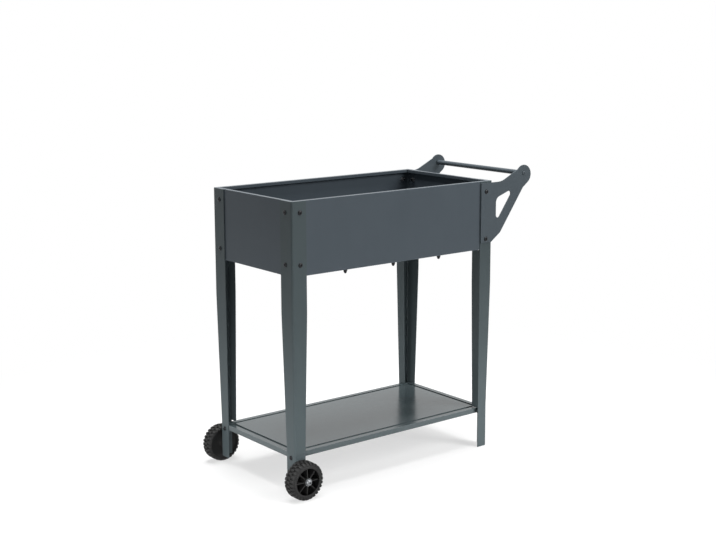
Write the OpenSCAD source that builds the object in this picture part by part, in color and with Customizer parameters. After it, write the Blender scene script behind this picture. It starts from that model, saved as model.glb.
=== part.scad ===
// Raised planter trough on four tapered sheet legs, with a lower shelf, two wheels
// under one end and a push handle at the other. X runs along the trough, from the
// wheels to the handle, Y runs to the back and Z up. Z = 0 is the ground, and the
// origin is the middle of the whole planter's footprint. All sizes in millimetres.

/* [Trough] */
// Length of the trough over the legs
box_length = 680; // [560:1:1000]
// Width of the trough over the legs
box_width = 362; // [300:1:520]
// Height of the trough's panels
box_height = 190; // [140:1:260]
// Thickness of the panels and of the trough's floor
panel_sheet = 1.2; // [0.8:0.1:2]
// Outer radius of the fold at each end of the long panels
panel_bend = 6; // [4:0.5:9]
// Length of the folded tab at each end of the long panels
corner_tab = 44; // [38:1:60]
// Width of the folded rim along the top edge
rim_width = 12; // [8:0.5:20]
// Height of the rim's turned-down edge
rim_lip = 8; // [4:0.5:16]
// Width of the ledge that carries the floor
floor_ledge = 26; // [22:1:40]
// Height of the floor's turned-up edge
floor_edge = 12; // [6:1:20]
// Diameter of a drain hole
drain_d = 8; // [5:0.5:14]
// Number of drain holes along the floor
drain_columns = 5; // [2:1:9]
// Distance between neighbouring drain holes along the floor
drain_pitch = 110; // [60:1:120]
// Distance between the two rows of drain holes
drain_rows_apart = 150; // [60:1:220]

/* [Legs] */
// Height of the legs and of the trough's rim above the ground
leg_height = 765; // [640:1:900]
// Thickness of the leg's sheet
leg_sheet = 1.5; // [1:0.1:3]
// Width of the leg's front or back flange beside the trough
leg_front = 44; // [36:1:60]
// Width of the leg's end flange beside the trough
leg_side = 50; // [40:1:60]
// Width of the leg's front or back flange at the foot
foot_front = 33; // [30:1:44]
// Width of the leg's end flange at the foot
foot_side = 36; // [30:1:50]
// How far the leg's corner leans inwards at the foot
leg_lean = 5.5; // [0:0.5:12]
// Outer radius of the leg's fold
leg_bend = 5; // [3:0.5:5.5]
// Width of the lip along the leg's front or back flange, below the trough
lip_top = 32; // [16:1:34]
// Width of the same lip just above the shelf
lip_foot = 25; // [12:1:28]
// Distance from the trough's bottom edge down to where the taper starts
taper_start = 96; // [20:1:160]
// Height of the wheel legs' lower ends above the ground
wheel_leg_foot = 20; // [5:1:30]

/* [Shelf] */
// Height of the shelf's top above the ground
shelf_height = 114; // [112:1:220]
// Thickness of the shelf's sheet
shelf_sheet = 1; // [0.8:0.1:2]
// Height of the shelf's turned-down edge
shelf_lip = 14; // [8:1:24]
// Height of the tabs at the shelf's corners
shelf_tab_height = 27; // [25:1:32]
// Length of the tabs at the shelf's corners
shelf_tab_length = 27; // [22:1:32]
// Distance from the legs' outer face to the shelf's long edge, at the foot
shelf_setback = 9.5; // [7:0.5:12]
// Distance from the shelf's edge to the groove that is pressed round its field
shelf_border = 14; // [12:1:40]
// Width of that groove
shelf_groove = 9; // [6:0.5:16]
// Depth of that groove
shelf_recess = 3; // [1:0.5:6]

/* [Handle] */
// Distance from the legs' outer face to the centre of the bracket's round end
handle_reach = 119.5; // [100:0.5:160]
// Height of that centre above the trough's rim
handle_rise = 8; // [0:0.5:30]
// Radius of the bracket's round end
handle_end_r = 27.5; // [22:0.5:34]
// Thickness of the bracket's plate
bracket_plate = 3; // [2:0.1:5]
// Slope of the bracket's upper edge in degrees
bracket_top_slope = 25.5; // [20:0.5:32]
// Slope of the bracket's lower edge in degrees
bracket_web_slope = 54; // [50:0.5:58]
// Width of the bracket's arm above the cut-out
bracket_arm = 34; // [28:0.5:38]
// Width of the bracket's web below the cut-out
bracket_web = 29; // [24:0.5:34]
// Diameter of the handle bar
bar_d = 14; // [12:0.5:20]
// Wall of the handle bar's tube
bar_wall = 1.5; // [1:0.1:2.5]
// Height of the bar's centre above the centre of the bracket's round end
bar_rise = 4; // [0:0.5:8]

/* [Wheels] */
// Diameter of a wheel over its tread
wheel_d = 100; // [90:1:120]
// Width of a wheel
wheel_width = 38; // [26:1:44]
// Distance from the legs' outer end face at the foot to the axle
axle_inset = 11.5; // [11.5:0.5:14]
// Height of the tread's lugs
lug_height = 3.2; // [2:0.1:5]
// Number of lugs round one row of the tread
lug_count = 28; // [20:1:36]
// Width of the smooth ring on the wheel's side
side_ring = 10; // [6:0.5:14]
// Number of spokes
spoke_count = 8; // [5:1:10]
// Thickness of a spoke
spoke_wall = 2.6; // [2:0.1:4]
// Thickness of the closed web behind the spokes
wheel_web = 2.5; // [2:0.1:5]
// Diameter of the wheel's hub
hub_d = 21; // [20.5:0.5:30]
// Diameter of the axle bolt's shank
axle_d = 8; // [6:0.5:10]
// Diameter of the axle bolt's round head
axle_head_d = 17; // [14:0.5:19]
// Width of the axle nut across its flats
axle_nut_across = 13; // [11:0.5:13]
// Radial clearance of the wheel on its axle
axle_play = 0.05; // [0.02:0.01:0.1]

/* [Fasteners] */
// Diameter of the small bolts' thread
bolt_d = 6; // [5:0.5:8]
// Diameter of the small bolts' round head
bolt_head_d = 12.5; // [11:0.5:14]
// Height of that head
bolt_head_h = 3.4; // [2.5:0.1:5]
// Width of the small nuts across their flats
nut_across = 10; // [8.5:0.5:11]
// Distance of the panel bolts from the panels' upper and lower edges
bolt_margin = 29; // [20:1:40]
// Distance between the floor's bolts
floor_bolt_pitch = 160; // [100:1:170]

/* [Hidden] */
$fn = 64;

slate = "#4e565b";
slate_light = "#656d72";
zinc = "#b9bcbd";
black = "#2b2d2e";

// Clearances
seam = 0.3;                // between neighbouring sheet edges, and round every fastener
mitre_gap = 0.25;          // from the mitre line to each sheet, along X
hole_play = 0.3;           // radial, between a bolt and its hole
wheel_side_play = 0.3;     // on each side of the wheel's hub
cut = 1;                   // how far a cutting tool runs past a face

// Places that several pieces share
half_length = box_length / 2;
half_width = box_width / 2;
box_bottom = leg_height - box_height;
taper_top = box_bottom - taper_start;
taper_bottom = shelf_height + 6;
upper_bolt_z = leg_height - bolt_margin;
lower_bolt_z = box_bottom + bolt_margin;
front_bolt_inset = leg_front / 2 + 3;
side_bolt_inset = leg_side / 2 + 4;
panel_inset = leg_sheet;                      // outer face of the long panels
end_inset = leg_sheet + panel_sheet;          // outer face of the end panels
floor_top = box_bottom + 2 * panel_sheet;
floor_inset = end_inset + panel_sheet + 0.5;
floor_bolt_inset = panel_inset + 18;
foot_inset = leg_lean + leg_sheet;            // inner face of a leg's flange at the foot
shelf_half_length = half_length - foot_inset;
shelf_half_width = half_width - leg_lean - shelf_setback;
shelf_bolt_z = shelf_height - shelf_lip + 1;
shelf_bolt_inset = leg_lean + foot_side / 2;
bolt_hole_d = bolt_d + 2 * hole_play;
axle_z = wheel_d / 2;
axle_x = -half_length + leg_lean + axle_inset;
spacer_length = 2.4;
washer_thickness = 1.6;
axle_washer_d = axle_head_d + 3;
axle_spacer_d = axle_head_d - 1;
hub_inner_y = half_width - leg_lean + spacer_length + wheel_side_play;
hub_outer_y = hub_inner_y + wheel_width;
axle_head_y = hub_outer_y + wheel_side_play + washer_thickness;
bar_x = half_length + handle_reach;
bar_z = leg_height + handle_rise + bar_rise;

// The planter stands so that the middle of its whole footprint is the origin
reach_right = half_length + handle_reach + handle_end_r;
reach_left = wheel_d / 2 - axle_x;
planter_x = (reach_left - reach_right) / 2;

module in_frame() translate([planter_x, 0, 0]) children();

// ---------------------------------------------------------------- helpers

function unit(v) = v / norm(v);
function mix(a, b, share) = a + (b - a) * share;

// Arc of radius r that rounds corner p between its neighbours a and b
function corner_arc(a, p, b, r, steps) =
    let (u = unit(a - p), v = unit(b - p), half = acos(u * v) / 2,
        c = p + unit(u + v) * (r / sin(half)),
        s = p + u * (r / tan(half)) - c, e = p + v * (r / tan(half)) - c,
        a0 = atan2(s[1], s[0]), turn = atan2(s[0] * e[1] - s[1] * e[0], s * e))
    [for (i = [0 : steps]) c + r * [cos(a0 + turn * i / steps), sin(a0 + turn * i / steps)]];

// Outline with rounded corners from a list of [point, radius], radius 0 for a sharp corner
function rounded(corners, steps = 6) =
    let (n = len(corners))
    [for (i = [0 : n - 1])
        let (p = corners[i][0], r = corners[i][1])
        each (r > 0
            ? corner_arc(corners[(i + n - 1) % n][0], p, corners[(i + 1) % n][0], r, steps)
            : [p])];

// Plan of the trough at a distance inside the legs' outer faces
module plan(inset, r) {
    x = half_length - inset;
    y = half_width - inset;
    polygon(r > 0
        ? rounded([[[-x, -y], r], [[x, -y], r], [[x, y], r], [[-x, y], r]])
        : [[-x, -y], [x, -y], [x, y], [-x, y]]);
}

// Front share of the plan, out to the mitres at its corners
module front_share() {
    x = half_length - mitre_gap;
    polygon([[-x, -half_width], [x, -half_width], [x - half_width, 0], [half_width - x, 0]]);
}

// Right end's share of the plan, between the mitres
module end_share() {
    x = half_length + mitre_gap;
    polygon([[x - half_width, 0], [x, -half_width], [x, half_width]]);
}

// A ring of the trough's plan between two insets
module plan_ring(outer, inner, r) {
    difference() {
        plan(outer, r);
        plan(inner, max(r - (inner - outer), 0));
    }
}

// Turns a fastener whose head points up the Z axis so that it points out of a side
module facing(side) {
    turn = side == "front" ? [90, 0, 0] : side == "back" ? [-90, 0, 0]
        : side == "left" ? [0, -90, 0] : side == "right" ? [0, 90, 0]
        : side == "down" ? [180, 0, 0] : [0, 0, 0];
    rotate(turn) children();
}

// Copies of a corner piece at all four corners of the planter
module mirrored_x(flip) mirror([flip ? 1 : 0, 0, 0]) children();
module mirrored_y(flip) mirror([0, flip ? 1 : 0, 0]) children();

// ---------------------------------------------------------------- fasteners

// Round-headed bolt with a hexagon socket, its seat at Z = 0 and its shank below
module button_bolt(shank, d = bolt_d, head_d = bolt_head_d, head_h = bolt_head_h) {
    socket_r = d * 0.36;
    difference() {
        union() {
            rotate_extrude()
                polygon([[0, 0], [head_d / 2, 0], [head_d / 2, head_h * 0.22],
                    for (i = [1 : 7]) [head_d / 2 * cos(i * 90 / 8), head_h * (0.22 + 0.78 * sin(i * 90 / 8))],
                    [0, head_h]]);
            translate([0, 0, -shank])
                cylinder(h = shank + head_h / 4, d = d);
        }
        translate([0, 0, head_h * 0.4])
            cylinder(h = head_h, r = socket_r, $fn = 6);
    }
}

// Hexagon nut with a round flange, seated at Z = 0 and rising up the Z axis
module flange_nut(d = bolt_d, across = nut_across, height = 5.6, flange_d = nut_across + 3, flange_h = 1.2) {
    difference() {
        union() {
            cylinder(h = flange_h, d = flange_d);
            cylinder(h = height, r = across / sqrt(3), $fn = 6);
        }
        translate([0, 0, -cut])
            cylinder(h = height + 2 * cut, d = d + 2 * hole_play);
    }
}

// Hexagon cap nut with a round dome, seated at Z = 0 and rising up the Z axis
module cap_nut(d = bolt_d, across = nut_across, hex_h = 6.5, dome_h = 7) {
    dome_r = across / 2 - 0.4;
    difference() {
        union() {
            cylinder(h = hex_h, r = across / sqrt(3), $fn = 6);
            rotate_extrude()
                polygon([[0, 0], [dome_r, 0], [dome_r, hex_h],
                    for (i = [1 : 7]) [dome_r * cos(i * 90 / 8), hex_h + dome_h * sin(i * 90 / 8)],
                    [0, hex_h + dome_h]]);
        }
        translate([0, 0, -cut])
            cylinder(h = hex_h + 2 + cut, d = d + 2 * hole_play);
    }
}

// ---------------------------------------------------------------- trough

// The long panel is one folded sheet: wall, end tabs, top rim and floor ledge
module long_panel() {
    difference() {
        union() {
            translate([0, 0, box_bottom])
                linear_extrude(box_height)
                    intersection() {
                        plan_ring(panel_inset, end_inset, panel_bend);
                        translate([-half_length, -half_width])
                            square([box_length, panel_inset + corner_tab]);
                    }
            folded_edges(panel_inset) front_share();
        }
        for (x = [-1, 1]) {
            for (z = [lower_bolt_z, upper_bolt_z]) {
                translate([x * (half_length - front_bolt_inset), -half_width, z])
                    facing("back") bolt_hole();
                translate([x * half_length, -half_width + side_bolt_inset, z])
                    facing(x > 0 ? "left" : "right") bolt_hole();
            }
        }
        for (i = [-1 : 1])
            translate([i * floor_bolt_pitch, -half_width + floor_bolt_inset, box_bottom - cut])
                cylinder(h = panel_sheet + 2 * cut, d = bolt_hole_d);
    }
}

// Clearance hole for a small bolt, from an outer face inwards
module bolt_hole() translate([0, 0, -cut]) cylinder(h = 12, d = bolt_hole_d);

// Top rim with its turned-down edge and bottom ledge of one panel, cut to its share of the plan
module folded_edges(outer) {
    outer_r = panel_bend - (outer - panel_inset);
    inner_rim = panel_inset + rim_width;
    translate([0, 0, leg_height - panel_sheet])
        linear_extrude(panel_sheet)
            intersection() {
                plan_ring(outer, inner_rim, outer_r);
                children();
            }
    translate([0, 0, leg_height - rim_lip])
        linear_extrude(rim_lip)
            intersection() {
                plan_ring(inner_rim - panel_sheet, inner_rim, 0);
                children();
            }
    translate([0, 0, box_bottom])
        linear_extrude(panel_sheet)
            intersection() {
                plan_ring(outer, panel_inset + floor_ledge, outer_r);
                children();
            }
}

// The end panel sits between the long panels' tabs
module end_panel() {
    wall_half = half_width - panel_inset - panel_bend - seam;
    difference() {
        union() {
            translate([half_length - end_inset - panel_sheet, -wall_half, box_bottom])
                cube([panel_sheet, 2 * wall_half, box_height]);
            folded_edges(end_inset + seam) end_share();
        }
        for (y = [-1, 1])
            for (z = [lower_bolt_z, upper_bolt_z])
                translate([half_length, y * (half_width - side_bolt_inset), z])
                    facing("left") bolt_hole();
    }
}

module front_panel() color(slate) in_frame() long_panel();
module back_panel() color(slate) in_frame() mirrored_y(true) long_panel();
module left_end_panel() color(slate) in_frame() mirrored_x(true) end_panel();
module right_end_panel() color(slate) in_frame() end_panel();

// Floor tray with drain holes and turned-up edges, resting on the panels' ledges
module trough_floor() {
    color(slate) in_frame() difference() {
        union() {
            translate([0, 0, floor_top - panel_sheet])
                linear_extrude(panel_sheet)
                    plan(floor_inset, panel_bend);
            translate([0, 0, floor_top - panel_sheet])
                linear_extrude(floor_edge)
                    plan_ring(floor_inset, floor_inset + panel_sheet, panel_bend);
        }
        for (i = [0 : drain_columns - 1])
            for (y = [-1, 1])
                translate([(i - (drain_columns - 1) / 2) * drain_pitch, y * drain_rows_apart / 2,
                        floor_top - panel_sheet - cut])
                    cylinder(h = panel_sheet + 2 * cut, d = drain_d);
        at_floor_bolts()
            translate([0, 0, -panel_sheet - cut])
                cylinder(h = panel_sheet + 2 * cut, d = bolt_hole_d);
    }
}

// The floor's bolt places, on the floor's upper face
module at_floor_bolts() {
    for (i = [-1 : 1])
        for (y = [-1, 1])
            translate([i * floor_bolt_pitch, y * (half_width - floor_bolt_inset), floor_top])
                children();
}

module floor_bolts() color(zinc) in_frame() at_floor_bolts() button_bolt(2 * panel_sheet + 6);
module floor_cap_nuts() {
    color(slate) in_frame() at_floor_bolts()
        translate([0, 0, -2 * panel_sheet]) facing("down") cap_nut();
}

// ---------------------------------------------------------------- legs

// Share of the taper that is reached at a height, 0 beside the trough and 1 at the foot
function taper_at(z) = min(max((taper_top - z) / (taper_top - taper_bottom), 0), 1);

// Section of the leg's two flanges and their fold, at a height, with the corner at the origin
function leg_section(z) =
    let (s = taper_at(z), o = leg_lean * s, t = leg_sheet,
        fw = mix(leg_front, foot_front, s), sw = mix(leg_side, foot_side, s))
    [for (p = concat(corner_arc([fw, t], [t, t], [t, sw], leg_bend - t, 5), [[t, sw], [0, sw]],
        corner_arc([0, sw], [0, 0], [fw, 0], leg_bend, 5), [[fw, 0], [fw, t]])) p + [o, o]];

// Section of the lip that is turned inwards along the front or back flange's free edge
function lip_section(z) =
    let (s = taper_at(z), o = leg_lean * s, x = o + mix(leg_front, foot_front, s), w = mix(lip_top, lip_foot, s))
    [[x - leg_sheet, o], [x, o], [x, o + w], [x - leg_sheet, o + w]];

// Solid through a stack of equal-sized sections, given as [height, points], from the bottom up.
// A section is a strip of sheet, whose points run along one side and back along the other.
module loft(sections) {
    n = len(sections[0][1]);
    points = [for (s = sections) for (p = s[1]) [p[0], p[1], s[0]]];
    sides = [for (k = [0 : len(sections) - 2]) for (i = [0 : n - 1])
        [k * n + i, (k + 1) * n + i, (k + 1) * n + (i + 1) % n, k * n + (i + 1) % n]];
    bottom = [for (k = [0 : n / 2 - 2]) [(n - 1 + k) % n, k, n - 3 - k, n - 2 - k]];
    top = [for (face = bottom) [for (i = [3 : -1 : 0]) (len(sections) - 1) * n + face[i]]];
    polyhedron(points = points, faces = concat(sides, bottom, top));
}

// A leg with its corner at the origin and its flanges along +X and +Y
module leg(foot_z, on_wheel) {
    lip_heights = [shelf_height + 2, taper_bottom, taper_top, box_bottom - 2];
    difference() {
        union() {
            loft([for (z = [foot_z, taper_bottom, taper_top, leg_height]) [z, leg_section(z)]]);
            loft([for (z = lip_heights) [z, lip_section(z)]]);
        }
        for (z = [lower_bolt_z, upper_bolt_z]) {
            translate([front_bolt_inset, 0, z]) facing("back") bolt_hole();
            translate([0, side_bolt_inset, z]) facing("right") bolt_hole();
        }
        translate([0, shelf_bolt_inset, shelf_bolt_z]) facing("right") bolt_hole();
        if (on_wheel)
            translate([leg_lean + axle_inset, 0, axle_z])
                facing("back") translate([0, 0, -cut]) cylinder(h = 12, d = axle_d + 2 * hole_play);
    }
}

// The leg of one corner, x and y being -1 or 1
module leg_at(x, y) {
    translate([x * half_length, y * half_width, 0])
        mirrored_x(x > 0) mirrored_y(y > 0)
            leg(x < 0 ? wheel_leg_foot : 0, x < 0);
}

module front_left_leg() color(slate_light) in_frame() leg_at(-1, -1);
module front_right_leg() color(slate_light) in_frame() leg_at(1, -1);
module back_left_leg() color(slate_light) in_frame() leg_at(-1, 1);
module back_right_leg() color(slate_light) in_frame() leg_at(1, 1);

// ---------------------------------------------------------------- panel fasteners

// Front and back bolt places at one end of the trough, head outwards, on the legs' outer face
module at_long_side_bolts(x) {
    for (y = [-1, 1])
        for (z = [lower_bolt_z, upper_bolt_z])
            translate([x * (half_length - front_bolt_inset), y * half_width, z])
                facing(y < 0 ? "front" : "back") children();
}

// The bolt places in the legs' end flanges
module at_end_bolts() {
    for (x = [-1, 1])
        for (y = [-1, 1])
            for (z = [lower_bolt_z, upper_bolt_z])
                translate([x * half_length, y * (half_width - side_bolt_inset), z])
                    facing(x < 0 ? "left" : "right") children();
}

module panel_bolts() {
    color(black) in_frame() {
        at_long_side_bolts(-1) button_bolt(12);
        at_end_bolts() button_bolt(13);
    }
}

module panel_nuts() {
    color(zinc) in_frame() {
        at_long_side_bolts(-1) translate([0, 0, -end_inset]) facing("down") flange_nut();
        at_end_bolts() translate([0, 0, -end_inset - panel_sheet]) facing("down") flange_nut();
    }
}

module bracket_bolts() {
    color(black) in_frame() at_long_side_bolts(1)
        translate([0, 0, bracket_plate]) button_bolt(bracket_plate + 12);
}

module bracket_nuts() {
    color(zinc) in_frame() at_long_side_bolts(1)
        translate([0, 0, -end_inset]) facing("down") flange_nut();
}

// ---------------------------------------------------------------- shelf

// Rectangle on the shelf's plan, a distance inside its edges
module shelf_plan(inset) {
    x = shelf_half_length - inset;
    y = shelf_half_width - inset;
    polygon([[-x, -y], [x, -y], [x, y], [-x, y]]);
}

// Pressed tray with a groove round its field, turned-down edges and a bolting tab at each corner
module shelf() {
    t = shelf_sheet;
    color(slate_light) in_frame() difference() {
        union() {
            translate([0, 0, shelf_height - t])
                linear_extrude(t)
                    shelf_plan(0);
            translate([0, 0, shelf_height - shelf_recess - t])
                linear_extrude(shelf_recess)
                    difference() {
                        shelf_plan(shelf_border - t);
                        shelf_plan(shelf_border + shelf_groove + t);
                    }
            translate([0, 0, shelf_height - shelf_lip])
                linear_extrude(shelf_lip)
                    difference() {
                        shelf_plan(0);
                        shelf_plan(t);
                    }
            for (x = [-1, 1])
                for (y = [-1, 1])
                    translate([x * (shelf_half_length - t / 2), y * (shelf_half_width - shelf_tab_length / 2),
                            shelf_height - shelf_tab_height / 2])
                        cube([t, shelf_tab_length, shelf_tab_height], center = true);
        }
        translate([0, 0, shelf_height - shelf_recess])
            linear_extrude(shelf_recess + cut)
                difference() {
                    shelf_plan(shelf_border);
                    shelf_plan(shelf_border + shelf_groove);
                }
        at_shelf_bolts() translate([0, 0, -12]) cylinder(h = 13, d = bolt_hole_d);
    }
}

// The shelf's bolt places, head outwards, on the legs' outer end faces
module at_shelf_bolts() {
    for (x = [-1, 1])
        for (y = [-1, 1])
            translate([x * (half_length - leg_lean), y * (half_width - shelf_bolt_inset), shelf_bolt_z])
                facing(x < 0 ? "left" : "right") children();
}

module shelf_bolts() color(black) in_frame() at_shelf_bolts() button_bolt(12);
module shelf_nuts() {
    color(zinc) in_frame() at_shelf_bolts()
        translate([0, 0, -leg_sheet - shelf_sheet]) facing("down") flange_nut();
}

// ---------------------------------------------------------------- handle

// The bracket's plane has its origin at the leg's top outer corner, X outwards and Y up
bracket_centre = [handle_reach, handle_rise];
arm_way = [cos(bracket_top_slope), sin(bracket_top_slope)];
web_way = [cos(bracket_web_slope), sin(bracket_web_slope)];
arm_edge = handle_end_r - 3;                  // from the round end's centre to the upper edge
web_edge = handle_end_r - 8.5;                // from the same centre to the web's lower edge
bracket_top_y = -5;
bracket_bottom_y = 18 - box_height;
web_low_y = bracket_bottom_y + 24;
window_left_x = 12.5;
window_middle_x = 40;
window_way = [cos(bracket_top_slope - 6.5), sin(bracket_top_slope - 6.5)];

// Point of the line through p along way, at a given Y or at a given X
function at_y(p, way, y) = p + way * ((y - p[1]) / way[1]);
function at_x(p, way, x) = p + way * ((x - p[0]) / way[0]);

// Where the line through p along v meets the line through q along w
function crossing(p, v, q, w) =
    p + v * (((q[0] - p[0]) * w[1] - (q[1] - p[1]) * w[0]) / (v[0] * w[1] - v[1] * w[0]));

// Outline of arm, round end, web and foot
function bracket_outline() =
    let (arm_point = bracket_centre + arm_edge * [-arm_way[1], arm_way[0]],
        web_point = bracket_centre + web_edge * [web_way[1], -web_way[0]],
        web_low = at_y(web_point, web_way, web_low_y),
        foot = at_y(web_low, [cos(35), sin(35)], bracket_bottom_y),
        arc_start = 90 + bracket_top_slope + acos(arm_edge / handle_end_r),
        arc_end = -58,
        round_end = [for (i = [0 : 36])
            let (turn = mix(arc_start, arc_end, i / 36))
            [bracket_centre + handle_end_r * [cos(turn), sin(turn)], 0]],
        left_x = seam - leg_front)
    rounded([[[left_x, bracket_top_y], 3], [at_y(arm_point, arm_way, bracket_top_y), 60],
        each round_end, [web_point - 31 * web_way, 12],
        [web_low, 12], [foot, 6], [[left_x, bracket_bottom_y], 3]], 8);

// The three-cornered cut-out between the arm and the web
function bracket_window() =
    let (arm_line = bracket_centre + (arm_edge - bracket_arm) * [-arm_way[1], arm_way[0]],
        arm_point = at_x(arm_line, arm_way, window_middle_x),
        web_point = bracket_centre + (web_edge - bracket_web) * [web_way[1], -web_way[0]],
        right = crossing(arm_point, window_way, web_point, web_way))
    rounded([[at_x(arm_point, window_way, window_left_x), 18], [right, 8],
        [at_x(web_point, web_way, window_left_x), 8]], 8);

module handle_bracket() {
    translate([half_length, -half_width, leg_height])
        rotate([90, 0, 0])
            difference() {
                linear_extrude(bracket_plate) polygon(bracket_outline());
                translate([0, 0, -cut])
                    linear_extrude(bracket_plate + 2 * cut) polygon(bracket_window());
                for (y = [-bolt_margin, bolt_margin - box_height])
                    translate([-front_bolt_inset, y, -cut])
                        cylinder(h = bracket_plate + 2 * cut, d = bolt_hole_d);
                translate([handle_reach, handle_rise + bar_rise, -cut])
                    cylinder(h = bracket_plate + 2 * cut, d = bolt_hole_d);
            }
}

module front_handle_bracket() color(slate) in_frame() handle_bracket();
module back_handle_bracket() color(slate) in_frame() mirrored_y(true) handle_bracket();

// Both ends of the handle bar, at the brackets' inner faces, looking outwards
module at_bar_ends() {
    for (y = [-1, 1])
        translate([bar_x, y * half_width, bar_z])
            facing(y < 0 ? "front" : "back") children();
}

// Tube with closed, tapped ends
module handle_bar() {
    bar_end = 16;
    color(slate) in_frame() translate([bar_x, half_width, bar_z]) rotate([90, 0, 0])
        difference() {
            cylinder(h = box_width, d = bar_d);
            translate([0, 0, bar_end])
                cylinder(h = box_width - 2 * bar_end, d = bar_d - 2 * bar_wall);
            translate([0, 0, -cut])
                cylinder(h = box_width + 2 * cut, d = bolt_hole_d);
        }
}

module handle_bar_screws() {
    color(black) in_frame() at_bar_ends()
        translate([0, 0, bracket_plate]) button_bolt(bracket_plate + 12);
}

// ---------------------------------------------------------------- wheels

// Star outline of one row of tread lugs, reaching past the tread's surface
module lug_row(turn) {
    pitch = 360 / lug_count;
    root_r = wheel_d / 2 - lug_height - 1.6;
    tip_r = wheel_d / 2 + cut;
    rotate(turn)
        polygon([for (i = [0 : lug_count - 1])
            for (k = [[root_r, -0.38], [tip_r, -0.26], [tip_r, 0.26], [root_r, 0.38]])
                k[0] * [cos((i + k[1]) * pitch), sin((i + k[1]) * pitch)]]);
}

// Ring that limits the lugs, with sloping shoulders
module tread_ring() {
    r = wheel_d / 2;
    w = wheel_width;
    root_r = r - lug_height - 1.6;
    rotate_extrude()
        polygon([[root_r, 0], [r - 3.6, 0], [r, 6], [r, w - 6], [r - 3.6, w], [root_r, w]]);
}

// Profile of the rim: a barrel with a smooth ring on its outer side and a narrow one inside
module rim_profile() {
    r = wheel_d / 2 - lug_height;
    w = wheel_width;
    ring_r = wheel_d / 2 - 5 - side_ring;
    barrel = 3;
    polygon([[r - barrel - 3, 0], [r - 3, 0], [r - 1, 1.2], [r, 4], [r, w - 4], [r - 1, w - 1.2], [r - 3, w],
        [ring_r + 1.5, w], [ring_r, w - 1], [ring_r, w - 3], [r - barrel, w - 4.5], [r - barrel, 2.5],
        [r - barrel - 3, 2]]);
}

// Moulded wheel on the Z axis, its outer side facing up
module wheel() {
    hub_r = hub_d / 2;
    barrel_inner = wheel_d / 2 - lug_height - 2;
    difference() {
        union() {
            rotate_extrude() rim_profile();
            intersection() {
                tread_ring();
                tread_rows();
            }
            cylinder(h = wheel_width, r = hub_r);
            translate([0, 0, 7])
                cylinder(h = wheel_web, r = barrel_inner);
            for (i = [0 : spoke_count - 1])
                rotate(i * 360 / spoke_count)
                    translate([hub_r - 1, 0, 0])
                        rotate([90, 0, 0])
                            translate([0, 0, -spoke_wall / 2])
                                linear_extrude(spoke_wall)
                                    polygon([[0, 3], [barrel_inner - hub_r + 1, 5],
                                        [barrel_inner - hub_r + 1, wheel_width - 6], [0, wheel_width - 3]]);
        }
        translate([0, 0, -cut])
            cylinder(h = wheel_width + 2 * cut, d = axle_d + 2 * axle_play);
    }
}

// Three rows of lugs, the middle one half a lug further round
module tread_rows() {
    row = wheel_width / 3;
    for (i = [0 : 2])
        translate([0, 0, i * row])
            linear_extrude(row)
                lug_row(i == 1 ? 180 / lug_count : 0);
}

// Places a wheel or its hardware on the front or back axle, Z outwards from the leg's face
module at_axle(y, distance) {
    translate([axle_x, y * distance, axle_z])
        facing(y < 0 ? "front" : "back") children();
}

module front_wheel() color(black) in_frame() at_axle(-1, hub_inner_y) wheel();
module back_wheel() color(black) in_frame() at_axle(1, hub_inner_y) wheel();

module axle_bolts() {
    shank = axle_head_y - half_width + foot_inset + 10;
    color(zinc) in_frame() for (y = [-1, 1])
        at_axle(y, axle_head_y) button_bolt(shank, axle_d, axle_head_d, 6);
}

module axle_washers() {
    color(zinc) in_frame() for (y = [-1, 1])
        at_axle(y, axle_head_y - washer_thickness)
            difference() {
                cylinder(h = washer_thickness, d = axle_washer_d);
                translate([0, 0, -cut])
                    cylinder(h = washer_thickness + 2 * cut, d = axle_d + 2 * hole_play);
            }
}

module axle_spacers() {
    color(black) in_frame() for (y = [-1, 1])
        at_axle(y, half_width - leg_lean)
            difference() {
                cylinder(h = spacer_length, d = axle_spacer_d);
                translate([0, 0, -cut])
                    cylinder(h = spacer_length + 2 * cut, d = axle_d + 2 * hole_play);
            }
}

module axle_nuts() {
    color(zinc) in_frame() for (y = [-1, 1])
        at_axle(y, half_width - foot_inset)
            facing("down") rotate(30)
                flange_nut(axle_d, axle_nut_across, 8, axle_nut_across - 0.2, 1);
}

front_panel();
back_panel();
left_end_panel();
right_end_panel();
trough_floor();
floor_bolts();
floor_cap_nuts();
front_left_leg();
front_right_leg();
back_left_leg();
back_right_leg();
panel_bolts();
panel_nuts();
bracket_bolts();
bracket_nuts();
shelf();
shelf_bolts();
shelf_nuts();
front_handle_bracket();
back_handle_bracket();
handle_bar();
handle_bar_screws();
front_wheel();
back_wheel();
axle_bolts();
axle_washers();
axle_spacers();
axle_nuts();
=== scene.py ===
"""Looks of a raised planter trolley of powder-coated sheet metal.

A trough stands on four tapered legs, with a lower shelf, a push handle and two moulded wheels.
"""

from __future__ import annotations

import logging
import math
from dataclasses import dataclass
from enum import Enum
from typing import Iterable, Sequence, Union

import bmesh
import bpy
from mathutils import Matrix, Vector


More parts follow.
